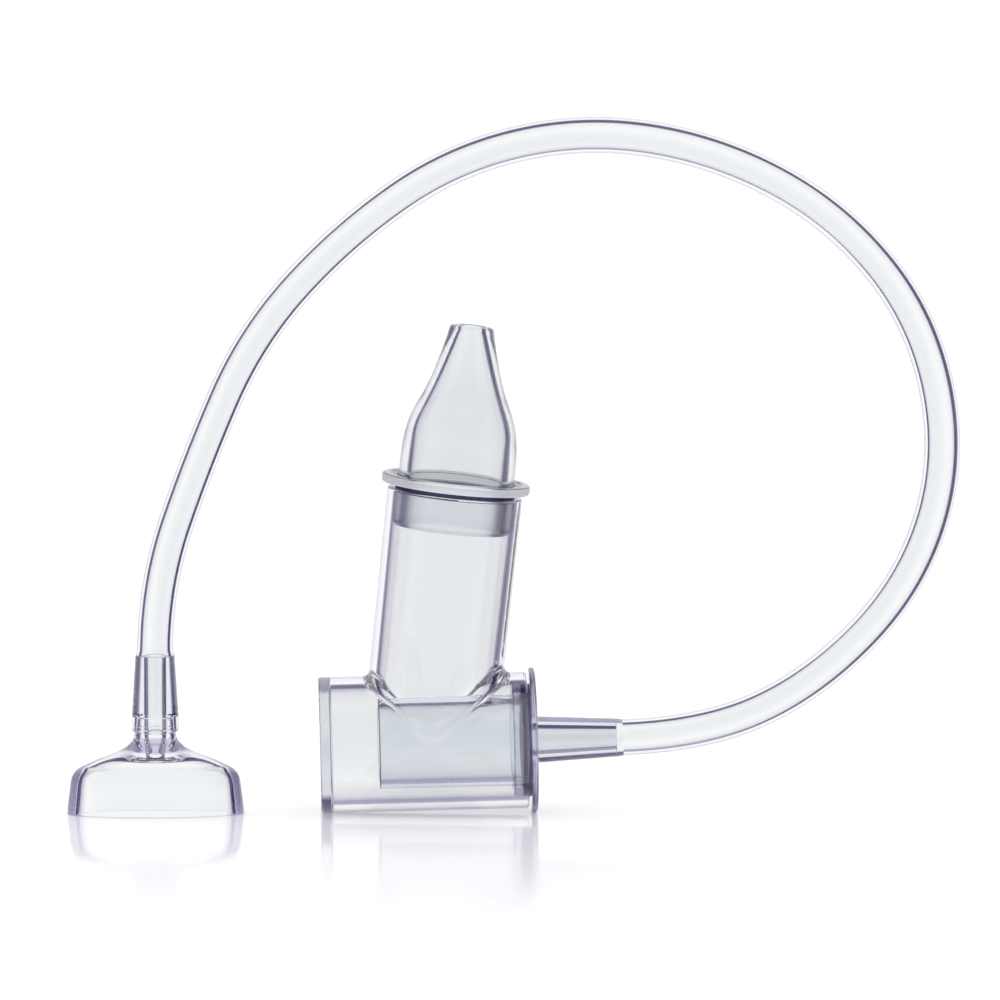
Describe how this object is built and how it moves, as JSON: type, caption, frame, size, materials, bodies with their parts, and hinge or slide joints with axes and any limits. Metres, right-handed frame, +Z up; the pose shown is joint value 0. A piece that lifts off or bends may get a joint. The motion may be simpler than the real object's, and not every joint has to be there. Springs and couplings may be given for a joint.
{
  "type": "nasal aspirator",
  "caption": "Mouth-suction nasal aspirator: clear T-shaped collector with a soft silicone nose tip, a capped outlet, a standing clear hose and an oval mouthpiece.",
  "frame": {"origin": "under the middle of everything but the hose, on the surface that the object stands on", "axes": "+X from the mouthpiece to the hose's spigot on the cap, +Z up, +Y away from the viewer of the front"},
  "size_m": [0.1785, 0.0296, 0.1392],
  "materials": {
    "clear_body": "clear, polished, faint violet-grey edges",
    "clear_cap": "clear, polished, faint violet-grey edges",
    "soft_silicone": "clear glossy skin, milky inside",
    "clear_mouthpiece": "clear, polished, violet-grey rim",
    "clear_hose": "clear, glossy, slightly smoky"
  },
  "bodies": {
    "collector": {"collector_body": "clear_body"},
    "cap": {"outlet_cap": "clear_cap"},
    "tip": {"nose_tip": "soft_silicone"},
    "hose_line": {"hose": "clear_hose"},
    "mouth": {"mouthpiece": "clear_mouthpiece"}
  },
  "joints": [
    {"name": "tip_pull", "type": "slide", "parent": "collector", "child": "tip", "axis": [0.1032, 0, 0.9947], "range_m": [0, 0.02]},
    {"name": "cap_pull", "type": "slide", "parent": "collector", "child": "cap", "axis": [0.9998, 0, 0.0214], "range_m": [0, 0.014]},
    {"name": "hose_swivel", "type": "hinge", "parent": "cap", "child": "hose_line", "pos_m": [0.03874, 0, 0.01451], "axis": [0.9998, 0, 0.0214], "range_deg": [-90, 90]},
    {"name": "mouthpiece_pull", "type": "slide", "parent": "hose_line", "child": "mouth", "axis": [0, 0, -1], "range_m": [0, 0.016]}
  ]
}
